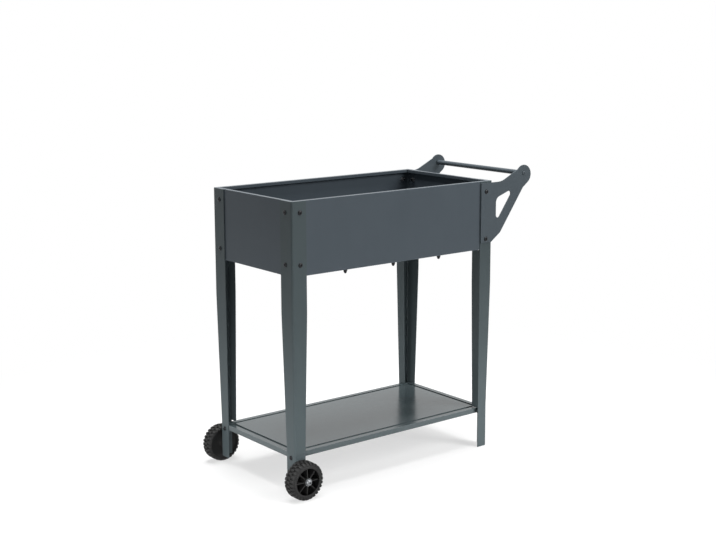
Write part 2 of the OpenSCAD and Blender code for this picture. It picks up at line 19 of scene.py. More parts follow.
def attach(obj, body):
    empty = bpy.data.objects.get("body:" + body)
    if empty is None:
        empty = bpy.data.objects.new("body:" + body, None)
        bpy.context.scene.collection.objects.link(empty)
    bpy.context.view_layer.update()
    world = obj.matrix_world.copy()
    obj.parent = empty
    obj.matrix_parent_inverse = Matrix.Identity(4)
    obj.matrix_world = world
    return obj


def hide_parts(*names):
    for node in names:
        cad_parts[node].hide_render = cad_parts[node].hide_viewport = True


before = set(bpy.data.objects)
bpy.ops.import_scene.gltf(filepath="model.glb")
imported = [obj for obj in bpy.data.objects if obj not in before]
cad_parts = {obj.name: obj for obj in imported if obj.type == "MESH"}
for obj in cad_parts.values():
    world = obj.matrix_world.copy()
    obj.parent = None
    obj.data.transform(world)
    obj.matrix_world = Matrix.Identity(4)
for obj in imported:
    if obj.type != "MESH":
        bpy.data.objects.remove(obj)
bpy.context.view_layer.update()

log = logging.getLogger("planter")
Colour = tuple[float, float, float]
Operand = Union["Value", float]

WHITE: Colour = (1.0, 1.0, 1.0)
MIX_FACTOR, MIX_FIRST, MIX_SECOND, MIX_RESULT = 0, 6, 7, 2  # a Mix node's sockets for colours
FIRST_SHADER, SECOND_SHADER = 1, 2  # a Mix Shader node's sockets
X_AXIS, Y_AXIS, Z_AXIS = 0, 1, 2
MIDDLE_X = -0.057  # the trough's own middle along X, in metres
CENTRE = (0.0, 0.0, 0.0)  # a wheel's middle while it is made
AXLE_LINE = (0.0, 0.0, 1.0)  # the axle's direction while a wheel is made
WELD = 1e-6  # vertices nearer than this are one, in metres
SHARP = math.radians(32.0)  # edges steeper than this are shaded sharp


# ------------------------------------------------------------------ shader maths


@dataclass(frozen=True)
class Value:
    """A number that varies over a surface, held as a node socket.

    Args:
        tree: The node tree that the socket belongs to.
        socket: The output socket with the number.
    """

    tree: bpy.types.NodeTree
    socket: bpy.types.NodeSocket

    def _maths(self, operation: str, *operands: Operand) -> Value:
        """Adds one Math node.

        Args:
            operation: The Math node's operation.
            operands: Its inputs in order, as values or numbers.

        Returns:
            The node's result.
        """
        node = self.tree.nodes.new("ShaderNodeMath")
        node.operation = operation
        for slot, operand in zip(node.inputs, operands):
            if isinstance(operand, Value):
                self.tree.links.new(operand.socket, slot)
            else:
                slot.default_value = operand
        return Value(self.tree, node.outputs[0])

    def __add__(self, other: Operand) -> Value:
        """Sum."""
        return self._maths("ADD", self, other)

    def __radd__(self, other: float) -> Value:
        """Sum with a number on the left."""
        return self._maths("ADD", other, self)

    def __sub__(self, other: Operand) -> Value:
        """Difference."""
        return self._maths("SUBTRACT", self, other)

    def __rsub__(self, other: float) -> Value:
        """Difference from a number."""
        return self._maths("SUBTRACT", other, self)

    def __mul__(self, other: Operand) -> Value:
        """Product."""
        return self._maths("MULTIPLY", self, other)

    def __rmul__(self, other: float) -> Value:
        """Product with a number on the left."""
        return self._maths("MULTIPLY", other, self)

    def __pow__(self, other: Operand) -> Value:
        """Power."""
        return self._maths("POWER", self, other)

    def __abs__(self) -> Value:
        """Magnitude."""
        return self._maths("ABSOLUTE", self)

    def either(self, other: Operand) -> Value:
        """The larger of the two."""
        return self._maths("MAXIMUM", self, other)

    def both(self, other: Operand) -> Value:
        """The smaller of the two."""
        return self._maths("MINIMUM", self, other)

    def clamped(self) -> Value:
        """This value, kept between zero and one."""
        return self.either(0.0).both(1.0)

    def ramp(self, low: float, high: float) -> Value:
        """Smooth step from zero at low to one at high.

        Args:
            low: Where the step starts.
            high: Where the step ends.

        Returns:
            The stepped value.
        """
        share = ((self - low) * (1.0 / (high - low))).clamped()
        return share * share * (3.0 - 2.0 * share)


@dataclass(frozen=True)
class Pattern:
    """A soft noise that a finish carries.

    Args:
        size: The size of its largest patches, in metres.
        layers: How many finer layers it has.
        stretch: A stretch along X, Y and Z.
        band: The noise between which it rises from zero to one, or None to leave it plain.
        falloff: How strong each finer layer is against the one before.
        height: Its real height where it is a relief, in metres.
        strength: How much of that height shows.
    """

    size: float
    layers: float = 2.0
    stretch: tuple[float, float, float] = (1.0, 1.0, 1.0)
    band: tuple[float, float] | None = None
    falloff: float = 0.55
    height: float = 0.0
    strength: float = 1.0


class Nodes:
    """A node tree in which one method makes every node."""

    def __init__(self, tree: bpy.types.NodeTree) -> None:
        """Empties the tree."""
        self.tree = tree
        self.tree.nodes.clear()

    def node(
        self, kind: str, settings: dict[str, object] | None = None, **inputs: object
    ) -> bpy.types.Node:
        """Adds a node, sets its settings and then feeds its sockets.

        Args:
            kind: The node's type.
            settings: Attributes that are set first.
            inputs: Values or links by socket name, with underscores for spaces.

        Returns:
            The new node.
        """
        node = self.tree.nodes.new(kind)
        for key, setting in (settings or {}).items():
            setattr(node, key, setting)
        for key, given in inputs.items():
            self.feed(node.inputs[key.replace("_", " ")], given)
        return node

    def feed(self, slot: bpy.types.NodeSocket, given: object) -> None:
        """Sets a socket's value, or links it.

        Args:
            slot: The input socket.
            given: A Value, a node (its first output), a socket, a number or a sequence.
        """
        if isinstance(given, Value):
            self.tree.links.new(given.socket, slot)
        elif isinstance(given, bpy.types.Node):
            self.tree.links.new(given.outputs[0], slot)
        elif isinstance(given, bpy.types.NodeSocket):
            self.tree.links.new(given, slot)
        elif isinstance(given, (tuple, list)) and len(given) == 3 and slot.type == "RGBA":
            slot.default_value = (*given, 1.0)
        else:
            slot.default_value = given

    def value(self, socket: bpy.types.NodeSocket) -> Value:
        """Wraps an output socket for expressions."""
        return Value(self.tree, socket)

    def seen(self) -> Value:
        """Tells what is looked at from what only gets light.

        Returns:
            One for camera, glossy and transmitted rays, and zero for diffuse light.
        """
        path = self.node("ShaderNodeLightPath")
        rays = ("Is Camera Ray", "Is Glossy Ray", "Is Transmission Ray")
        camera, glossy, through = (self.value(path.outputs[name]) for name in rays)
        return (camera + glossy + through).clamped()


class Shader(Nodes):
    """A material's node tree, from its coordinates to its surface."""

    def __init__(self, name: str) -> None:
        """Starts an empty material.

        Args:
            name: The material's name.
        """
        self.material = bpy.data.materials.new(name)
        self.material.use_nodes = True
        super().__init__(self.material.node_tree)
        self.output = self.node("ShaderNodeOutputMaterial")

    def coordinates(self) -> bpy.types.NodeSocket:
        """The place on the piece as one vector."""
        return self.node("ShaderNodeTexCoord").outputs["Object"]

    def position(self) -> tuple[Value, Value, Value]:
        """The place on the piece, in metres along X, Y and Z."""
        split = self.node("ShaderNodeSeparateXYZ", Vector=self.coordinates())
        return tuple(self.value(split.outputs[axis]) for axis in "XYZ")

    def noise(self, pattern: Pattern) -> Value:
        """Lays a pattern over the piece.

        Args:
            pattern: The pattern.

        Returns:
            The noise, between zero and one.
        """
        place = self.node("ShaderNodeMapping", Vector=self.coordinates(), Scale=pattern.stretch)
        node = self.node(
            "ShaderNodeTexNoise",
            Vector=place,
            Scale=1.0 / pattern.size,
            Detail=pattern.layers,
            Roughness=pattern.falloff,
        )
        noise = self.value(node.outputs["Fac"])
        return noise.ramp(*pattern.band) if pattern.band else noise

    def blend(self, share: Operand, first: object, second: object) -> bpy.types.NodeSocket:
        """Mixes two colours.

        Args:
            share: How much of the second colour shows.
            first: The colour at zero.
            second: The colour at one.

        Returns:
            The mixed colour's socket.
        """
        node = self.node("ShaderNodeMix", {"data_type": "RGBA"})
        for slot, given in ((MIX_FACTOR, share), (MIX_FIRST, first), (MIX_SECOND, second)):
            self.feed(node.inputs[slot], given)
        return node.outputs[MIX_RESULT]

    def bump(self, noise: Value, pattern: Pattern) -> bpy.types.NodeSocket:
        """Turns a pattern's noise into a relief and returns the normal's socket."""
        relief = {"Height": noise, "Distance": pattern.height, "Strength": pattern.strength}
        return self.node("ShaderNodeBump", **relief).outputs[0]

    def surface(self, **inputs: object) -> bpy.types.Material:
        """Closes the material with a principled shader.

        Args:
            inputs: Values or links by socket name, with underscores for spaces.

        Returns:
            The finished material.
        """
        return self.close(self.node("ShaderNodeBsdfPrincipled", **inputs))

    def close(self, shader: bpy.types.Node) -> bpy.types.Material:
        """Links a shader to the material's output and returns the material."""
        self.feed(self.output.inputs["Surface"], shader)
        return self.material


# ------------------------------------------------------------------ finishes


class Slot(Enum):
    """The record's material slots."""

    PANEL = "panel_coat"
    LEG = "leg_coat"
    BLACK = "black_steel"
    ZINC = "zinc_steel"
    WHEEL = "wheel_plastic"


@dataclass(frozen=True)
class Edge:
    """A straight edge of sheet where two planes meet, mirrored about the planter's middle.

    Each plane is at a distance from the planter's own middle along X or Y, or at a height along Z.

    Args:
        planes: The two planes, as axis number and place in metres.
        reach: How far from the edge the coat is made paler by rubbing and a painted highlight, in
            metres.
        full: How far from the edge it is made paler in full, in metres.
    """

    planes: tuple[tuple[int, float], tuple[int, float]]
    reach: float
    full: float = 0.0003

    def closeness(self, place: tuple[Value, Value, Value]) -> Value:
        """One on the edge and zero beyond its reach.

        Args:
            place: The place on the piece, X and Y measured from the planter's middle without sign.

        Returns:
            The closeness.
        """
        (first, first_at), (second, second_at) = self.planes
        away = abs(place[first] - first_at).either(abs(place[second] - second_at))
        return 1.0 - away.ramp(self.full, self.reach)


def folds(
    half_width: float, half_length: float, heights: Sequence[float], reach: float
) -> tuple[Edge, ...]:
    """The edges along the four sides of a rectangle of sheet.

    Args:
        half_width: From the planter's middle to the long sides, in metres.
        half_length: From the planter's middle to the short sides, in metres.
        heights: The edges' heights, in metres.
        reach: How far from the edges the coat is made paler by rubbing and a painted highlight, in
            metres.

    Returns:
        The edges.
    """
    sides = ((Y_AXIS, half_width), (X_AXIS, half_length))
    return tuple(Edge((side, (Z_AXIS, height)), reach) for side in sides for height in heights)


@dataclass(frozen=True)
class PowderCoat:
    """Satin powder coat with fine orange peel, rubbed edges with a painted highlight, a thin dust,
    and painted light that makes it paler low down.

    Args:
        name: The material's name.
        colour: The coat's colour, linear.
        pale: The colour of the dust on it, and of the painted light low down.
        edges: The edges along which it is rubbed and given a painted highlight.
        roughness: The mean roughness.
        gloss: How strongly it mirrors, as a specular level.
        painted_low_light: How much paler the coat is painted at the ground, as painted light from
            below.
        painted_light_top: Height at which the painted low light ends, in metres.
        cloud: Wide soft patches.
        streak: Upright wipe marks.
        speck: Single specks of dust.
        peel: The orange peel.
        worn: The breaks in the rubbed and highlit edges.
        cloud_share: The clouds' share of the drifting dust; the streaks have the rest.
        drift: The clouds and streaks between which the drifting dust rises.
        dusting: How much dust lies in the drifts and in the specks.
        unevenness: How far the roughness strays with the clouds and with the streaks.
        speck_roughness: What the specks add to the roughness.
        edge_wear_and_highlight: How much paler the edges are made at least, what the breaks add,
            and how much shows; part rubbed wear, part painted highlight.
        edge_wear_and_highlight_gain: How much lighter than the dust a rubbed and highlit edge is.
    """

    name: str
    colour: Colour
    pale: Colour
    edges: tuple[Edge, ...] = ()
    roughness: float = 0.34
    gloss: float = 0.12
    painted_low_light: float = 0.75
    painted_light_top: float = 0.60
    cloud: Pattern = Pattern(0.14, 3.0)
    streak: Pattern = Pattern(0.045, 3.0, (1.0, 1.0, 0.16))
    speck: Pattern = Pattern(0.0012, 1.0, band=(0.62, 0.72))
    peel: Pattern = Pattern(0.0016, height=0.00005, strength=0.8)
    worn: Pattern = Pattern(0.012, 4.0, band=(0.38, 0.62))
    cloud_share: float = 0.6
    drift: tuple[float, float] = (0.3, 0.7)
    dusting: tuple[float, float] = (0.20, 0.10)
    unevenness: float = 0.10
    speck_roughness: float = 0.05
    edge_wear_and_highlight: tuple[float, float, float] = (0.25, 0.75, 0.75)
    edge_wear_and_highlight_gain: float = 1.35

    def material(self) -> bpy.types.Material:
        """Builds the material.

        Returns:
            The material.
        """
        shader = Shader(self.name)
        x, y, z = shader.position()
        patterns = (self.cloud, self.streak, self.speck)
        cloud, streak, speck = (shader.noise(pattern) for pattern in patterns)
        in_drifts, in_specks = self.dusting
        drifts = (cloud * self.cloud_share + streak * (1.0 - self.cloud_share)).ramp(*self.drift)
        # Painted light: paler towards the ground, standing in for the light that the floor throws
        # up on the low parts.
        painted_low_light = (1.0 - z.ramp(0.0, self.painted_light_top)) * self.painted_low_light
        dust_and_low_light = drifts * in_drifts + painted_low_light + speck * in_specks
        coat = shader.blend(dust_and_low_light, self.colour, self.pale)
        uneven = (cloud + streak - 1.0) * self.unevenness + speck * self.speck_roughness
        if self.edges:
            coat = self._paler_worn_and_highlit_edges(shader, coat, (abs(x - MIDDLE_X), abs(y), z))
        return shader.surface(
            Base_Color=coat,
            Roughness=self.roughness + uneven,
            Normal=shader.bump(shader.noise(self.peel), self.peel),
            Specular_IOR_Level=self.gloss,
        )

    def _paler_worn_and_highlit_edges(
        self, shader: Shader, coat: bpy.types.NodeSocket, place: tuple[Value, Value, Value]
    ) -> bpy.types.NodeSocket:
        """Makes the coat paler along the edges, partly as rubbed wear and partly as a painted
        highlight where the edges would catch the light.

        Args:
            shader: The material's tree.
            coat: The coat's colour so far.
            place: The place on the piece, X and Y measured from the planter's middle without sign.

        Returns:
            The colour with its rubbed and highlit edges.
        """
        least, breaks, shown = self.edge_wear_and_highlight
        closest = self.edges[0].closeness(place)
        for edge in self.edges[1:]:
            closest = closest.either(edge.closeness(place))
        # Painted highlight and rubbed wear: the coat turns paler near each edge, with breaks.
        rubbed = closest * (shader.noise(self.worn) * breaks + least) * shown
        return shader.blend(rubbed, coat, tuple(self.edge_wear_and_highlight_gain * part for part in self.pale))


@dataclass(frozen=True)
class BlackSteel:
    """Satin black coat on round-headed bolts, rubbed a little lighter here and there.

    Args:
        name: The material's name.
        colour: The coat's colour, linear.
        rubbed: The colour where a key has rubbed it.
        worn: The rubbed patches.
        grain: The coat's fine grain.
        shown: How much of the rubbed colour shows.
        roughness: The plain roughness, and what the grain and the rubbed patches add.
        gloss: How strongly it mirrors, as a specular level.
    """

    name: str
    colour: Colour
    rubbed: Colour
    worn: Pattern = Pattern(0.0035, 3.0, band=(0.5, 0.75))
    grain: Pattern = Pattern(0.0007, height=0.00002, strength=0.6)
    shown: float = 0.5
    roughness: tuple[float, float, float] = (0.20, 0.12, 0.06)
    gloss: float = 0.25

    def material(self) -> bpy.types.Material:
        """Builds the material.

        Returns:
            The material.
        """
        shader = Shader(self.name)
        worn, grain = shader.noise(self.worn), shader.noise(self.grain)
        plain, by_grain, by_wear = self.roughness
        return shader.surface(
            Base_Color=shader.blend(worn * self.shown, self.colour, self.rubbed),
            Roughness=plain + grain * by_grain + worn * by_wear,
            Normal=shader.bump(grain, self.grain),
            Specular_IOR_Level=self.gloss,
        )


@dataclass(frozen=True)
class ZincPlate:
    """Zinc plate with the cloudy patches and fine scratches of plated hardware.

    Args:
        name: The material's name.
        colour: The plate's colour, linear.
        dull: The colour of its duller patches.
        cloud: The dull patches.
        scratch: The fine upright scratches.
        shown: How much of the dull colour shows.
        roughness: The plain roughness, and what the patches and the scratches add.
    """

    name: str
    colour: Colour
    dull: Colour
    cloud: Pattern = Pattern(0.006, 3.0, band=(0.35, 0.7))
    scratch: Pattern = Pattern(0.002, stretch=(1.0, 1.0, 0.1), height=0.00002, strength=0.6)
    shown: float = 0.8
    roughness: tuple[float, float, float] = (0.38, 0.12, 0.08)

    def material(self) -> bpy.types.Material:
        """Builds the material.

        Returns:
            The material.
        """
        shader = Shader(self.name)
        cloud, scratch = shader.noise(self.cloud), shader.noise(self.scratch)
        plain, by_cloud, by_scratch = self.roughness
        return shader.surface(
            Base_Color=shader.blend(cloud * self.shown, self.colour, self.dull),
            Metallic=1.0,
            Roughness=plain + cloud * by_cloud + scratch * by_scratch,
            Normal=shader.bump(scratch, self.scratch),
        )


@dataclass(frozen=True)
class MouldedPlastic:
    """Matt charcoal moulded plastic with an eroded mould texture and pale scuffs on the tread.

    Args:
        name: The material's name.
        colour: The plastic's colour, linear.
        scuffed: The colour of scuffed lugs.
        axle: X and Z of the axle, in metres, about which the tread's radius is measured.
        tread: Radii between which the tread's scuffs begin, in metres.
        grain: The mould texture.
        cloud: The wide pale patches.
        scuff: The scuffs on the tread.
        shown: How much of the scuffs and of the wide patches shows.
        roughness: The plain roughness, and what the grain and the scuffs add.
        gloss: How strongly it mirrors, as a specular level.
    """

    name: str
    colour: Colour
    scuffed: Colour
    axle: tuple[float, float]
    tread: tuple[float, float]
    grain: Pattern = Pattern(0.0009, height=0.00008, strength=0.8)
    cloud: Pattern = Pattern(0.02, 3.0, band=(0.4, 0.7))
    scuff: Pattern = Pattern(0.004, 4.0, band=(0.42, 0.66))
    shown: tuple[float, float] = (0.7, 0.22)
    roughness: tuple[float, float, float] = (0.50, 0.14, 0.12)
    gloss: float = 0.30

    def material(self) -> bpy.types.Material:
        """Builds the material.

        Returns:
            The material.
        """
        shader = Shader(self.name)
        x, _, z = shader.position()
        across, up = x - self.axle[0], z - self.axle[1]
        tread = ((across * across + up * up) ** 0.5).ramp(*self.tread)
        patterns = (self.grain, self.cloud, self.scuff)
        grain, cloud, scuff = (shader.noise(pattern) for pattern in patterns)
        on_tread, all_over = self.shown
        plain, by_grain, by_scuff = self.roughness
        pale = (scuff * tread * on_tread + cloud * all_over).clamped()
        return shader.surface(
            Base_Color=shader.blend(pale, self.colour, self.scuffed),
            Roughness=plain + grain * by_grain + pale * by_scuff,
            Normal=shader.bump(grain, self.grain),
            Specular_IOR_Level=self.gloss,
        )


@dataclass(frozen=True)
class Finishes:
    """The finishes that several sub-assemblies share.

    Args:
        black: The bolts' black coat.
        zinc: The plate on nuts and axles.
    """

    black: BlackSteel = BlackSteel(
        "black_bolt_coat", colour=(0.0035, 0.0045, 0.0065), rubbed=(0.016, 0.019, 0.025)
    )
    zinc: ZincPlate = ZincPlate(
        "zinc_plate", colour=(0.25, 0.26, 0.27), dull=(0.12, 0.125, 0.13)
    )

    def shared(self) -> dict[Slot, bpy.types.Material]:
        """Builds each shared material once and returns them by slot."""
        return {Slot.BLACK: self.black.material(), Slot.ZINC: self.zinc.material()}


# ------------------------------------------------------------------ meshes


def outline_face(
    part: bmesh.types.BMesh, points: Iterable[tuple[float, float]]
) -> bmesh.types.BMFace:
    """Draws one face in the plane through the axle.

    Args:
        part: The mesh to draw in.
        points: The corners, as radius and height along the axle, in metres.

    Returns:
        The face.
    """
    return part.faces.new([part.verts.new((radius, 0.0, height)) for radius, height in points])


def rounded_face(
    part: bmesh.types.BMesh, points: Iterable[tuple[float, float]], rounding: float
) -> bmesh.types.BMFace:
    """Draws one face in the plane through the axle, with rounded corners.

    Args:
        part: The mesh to draw in, which is empty.
        points: The corners, as radius and height along the axle, in metres.
        rounding: The corners' rounding, in metres.

    Returns:
        The face.
    """
    face = outline_face(part, points)
    bmesh.ops.bevel(
        part,
        geom=face.verts[:],
        offset=rounding,
        offset_type="OFFSET",
        segments=2,
        profile=0.5,
        affect="VERTICES",
        clamp_overlap=True,
        material=-1,
    )
    return next(iter(part.faces))


def everything(part: bmesh.types.BMesh) -> list[object]:
    """All the vertices, edges and faces of a mesh."""
    return part.verts[:] + part.edges[:] + part.faces[:]


def soften(part: bmesh.types.BMesh, width: float) -> None:
    """Bevels every edge of a mesh.

    Args:
        part: The mesh.
        width: The bevel's width in metres.
    """
    bmesh.ops.bevel(
        part,
        geom=part.edges[:],
        offset=width,
        segments=1,
        profile=0.5,
        affect="EDGES",
        clamp_overlap=True,
        material=-1,
    )


def repeat_round(part: bmesh.types.BMesh, count: int, start: float = 0.0) -> None:
    """Repeats all of a mesh round the axle.

    Args:
        part: The mesh, which holds the first copy.
        count: How many copies there are in the end.
        start: The first copy's turn in radians.
    """
    bmesh.ops.rotate(part, verts=part.verts[:], cent=CENTRE, matrix=Matrix.Rotation(start, 3, "Z"))
    step = 2.0 * math.pi / count
    bmesh.ops.spin(
        part,
        geom=everything(part),
        cent=CENTRE,
        axis=AXLE_LINE,
        angle=step * (count - 1),
        steps=count - 1,
        use_duplicate=True,
    )


def joined(name: str, parts: Sequence[bmesh.types.BMesh], place: Matrix) -> bpy.types.Object:
    """Joins meshes into one object that sits at the origin, and frees them.

    Args:
        name: The object's name.
        parts: Closed meshes about the axle.
        place: Where they go.

    Returns:
        The object.
    """
    whole = bmesh.new()
    for part in parts:
        bmesh.ops.remove_doubles(part, verts=part.verts[:], dist=WELD)
        bmesh.ops.recalc_face_normals(part, faces=part.faces[:])
        sheet = bpy.data.meshes.new("sheet")
        part.to_mesh(sheet)
        part.free()
        whole.from_mesh(sheet)
        bpy.data.meshes.remove(sheet)
    bmesh.ops.transform(whole, matrix=place, verts=whole.verts[:])
    mesh = bpy.data.meshes.new(name)
    whole.to_mesh(mesh)
    whole.free()
    mesh.shade_smooth()
    mesh.set_sharp_from_angle(angle=SHARP)
    piece = bpy.data.objects.new(name, mesh)
    bpy.context.scene.collection.objects.link(piece)
    return piece


# ------------------------------------------------------------------ sub-assemblies


class SubAssembly:
    """Some of the planter's pieces that are made and dressed together."""

    label: str = ""
    pieces: dict[str, Slot] = {}

    def coats(self) -> dict[Slot, bpy.types.Material]:
        """The finishes that only this sub-assembly has, by slot."""
        return {}

    def build(self, materials: dict[Slot, bpy.types.Material]) -> None:
        """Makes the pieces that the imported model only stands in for, if there are any."""

    def dress(self, shared: dict[Slot, bpy.types.Material]) -> None:
        """Gives every piece its finish.

        Args:
            shared: The finishes that several sub-assemblies share, by slot.
        """
        materials = {**shared, **self.coats()}
        self.build(materials)
        for name, slot in self.pieces.items():
            put_on(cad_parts[name], materials[slot])
            log.info("%s: %s in %s", self.label, name, materials[slot].name)


def put_on(piece: bpy.types.Object, material: bpy.types.Material) -> None:
    """Gives a piece one material all over.

    Args:
        piece: The piece.
        material: Its material.
    """
    if not piece.material_slots:
        piece.data.materials.append(material)
    for holder in piece.material_slots:
        holder.material = material


@dataclass(frozen=True)
class Trough(SubAssembly):
    """The box: four folded panels, a floor and the floor's bolts.

    Args:
        half_length: From its middle to the end panels' outer faces, in metres.
        half_width: From its middle to the long panels' outer faces, in metres.
        rim: Height of the rim, in metres.
        bottom: Height of the panels' lower folds, in metres.
        edge_wear_and_highlight: How far from the folds the coat is rubbed and given a painted
            highlight, in metres.
    """

    label = "trough"
    pieces = {
        "front_panel": Slot.PANEL,
        "back_panel": Slot.PANEL,
        "left_end_panel": Slot.PANEL,
        "right_end_panel": Slot.PANEL,
        "trough_floor": Slot.PANEL,
        "floor_bolts": Slot.ZINC,
        "floor_cap_nuts": Slot.BLACK,
    }
    half_length: float = 0.3373
    half_width: float = 0.1795
    rim: float = 0.765
    bottom: float = 0.575
    edge_wear_and_highlight: float = 0.0022

    def coats(self) -> dict[Slot, bpy.types.Material]:
        """Coats the panels, rubbed and given a painted highlight along the rim and the lower folds.

        Returns:
            The coat by slot.
        """
        coat = PowderCoat(
            "slate_panel_coat",
            colour=(0.0640, 0.0790, 0.0930),
            pale=(0.086, 0.104, 0.120),
            edges=folds(self.half_width, self.half_length, (self.rim, self.bottom), self.edge_wear_and_highlight),
        )
        return {Slot.PANEL: coat.material()}


@dataclass(frozen=True)
class Legs(SubAssembly):
    """Four folded and tapered sheet legs with the bolts that hold the panels.

    Args:
        half_length: From the planter's middle to the legs' outer end faces at the top, in metres.
        half_width: From the planter's middle to their outer front faces at the top, in metres.
        top: Height of their upper ends, in metres.
        edge_wear_and_highlight: How far from the upper ends the coat is rubbed and given a painted
            highlight, in metres.
    """

    label = "legs"
    pieces = {
        "front_left_leg": Slot.LEG,
        "front_right_leg": Slot.LEG,
        "back_left_leg": Slot.LEG,
        "back_right_leg": Slot.LEG,
        "panel_bolts": Slot.BLACK,
        "panel_nuts": Slot.ZINC,
    }
    half_length: float = 0.340
    half_width: float = 0.181
    top: float = 0.765
    edge_wear_and_highlight: float = 0.0016

    def coats(self) -> dict[Slot, bpy.types.Material]:
        """Coats the legs, painted paler towards the ground as painted light, with rubbed wear and a
        painted highlight along their cut upper ends.

        Returns:
            The coat by slot.
        """
        coat = PowderCoat(
            "slate_leg_coat",
            colour=(0.0560, 0.0725, 0.0775),
            pale=(0.082, 0.103, 0.110),
            edges=folds(self.half_width, self.half_length, (self.top,), self.edge_wear_and_highlight),
        )
        return {Slot.LEG: coat.material()}


@dataclass(frozen=True)
class Shelf(SubAssembly):
    """The lower shelf with its pressed groove, its turned-down lip and its bolts.

    Args:
        half_length: From its middle to the end lips' outer faces, in metres.
        half_width: From its middle to the long lips' outer faces, in metres.
        top: Height of its top face, in metres.
        edge_wear_and_highlight: How far from the lip's folds the coat is rubbed and given a painted
            highlight, in metres.
    """

    label = "shelf"
    pieces = {"shelf": Slot.LEG, "shelf_bolts": Slot.BLACK, "shelf_nuts": Slot.ZINC}
    half_length: float = 0.333
    half_width: float = 0.166
    top: float = 0.114
    edge_wear_and_highlight: float = 0.002

    def coats(self) -> dict[Slot, bpy.types.Material]:
        """Coats the shelf, smoother than the legs, rubbed and given a painted highlight along the
        folds of its lip, and lighter than the legs' coat by painted sheen.

        Returns:
            The coat by slot.
        """
        coat = PowderCoat(
            "slate_shelf_coat",
            # Painted sheen: a lighter copy of the legs' coat, standing in for the bright reflection
            # on the shelf's top.
            colour=(0.066, 0.086, 0.092),
            pale=(0.090, 0.111, 0.118),
            edges=folds(self.half_width, self.half_length, (self.top,), self.edge_wear_and_highlight),
            roughness=0.19,
            gloss=0.4,
            painted_low_light=0.0,
        )
        return {Slot.LEG: coat.material()}


@dataclass(frozen=True)
class Handle(SubAssembly):
    """Two cut-out brackets, the bar between them, their bolts and the bar's coated screws.

    Args:
        colour: The coat's colour, linear.
        pale: The colour of the dust on it.
    """

    label = "handle"
    pieces = {
        "front_handle_bracket": Slot.PANEL,
        "back_handle_bracket": Slot.PANEL,
        "handle_bar": Slot.PANEL,
        "handle_bar_screws": Slot.PANEL,
        "bracket_bolts": Slot.BLACK,
        "bracket_nuts": Slot.ZINC,
    }
    colour: Colour = (0.0660, 0.0815, 0.0930)
    pale: Colour = (0.090, 0.108, 0.120)

    def coats(self) -> dict[Slot, bpy.types.Material]:
        """The brackets' and the bar's coat."""
        return {Slot.PANEL: PowderCoat("slate_handle_coat", self.colour, self.pale).material()}


@dataclass(frozen=True)
class Shoulder:
    """How a lug wraps over the tread's shoulder, measured from that side of the wheel.

    Args:
        bend: Distance from the side at which the lug's tip starts to fall, in metres.
        fall: How far the tip has fallen at the side, in metres.
        edge: Distance of the fallen tip from the side, in metres.
        depth: How far the lug reaches below its own root, in metres.
        foot: Distances from the side between which it does, in metres.
    """

    bend: float
    fall: float
    edge: float
    depth: float
    foot: tuple[float, float]

    def outline(self, root: float, tip: float, inside: float) -> list[tuple[float, float]]:
        """Draws the lug's outline.

        Args:
            root: The radius of the lug's root, in metres.
            tip: The radius of its tip, in metres.
            inside: Distance of its inner end from the side, in metres.

        Returns:
            The corners, as radius and distance from the side.
        """
        near, far = ((root - self.depth, foot) for foot in self.foot)
        top = [(root, inside), (tip, inside), (tip, self.bend), (tip - self.fall, self.edge)]
        return [*top, near, far]


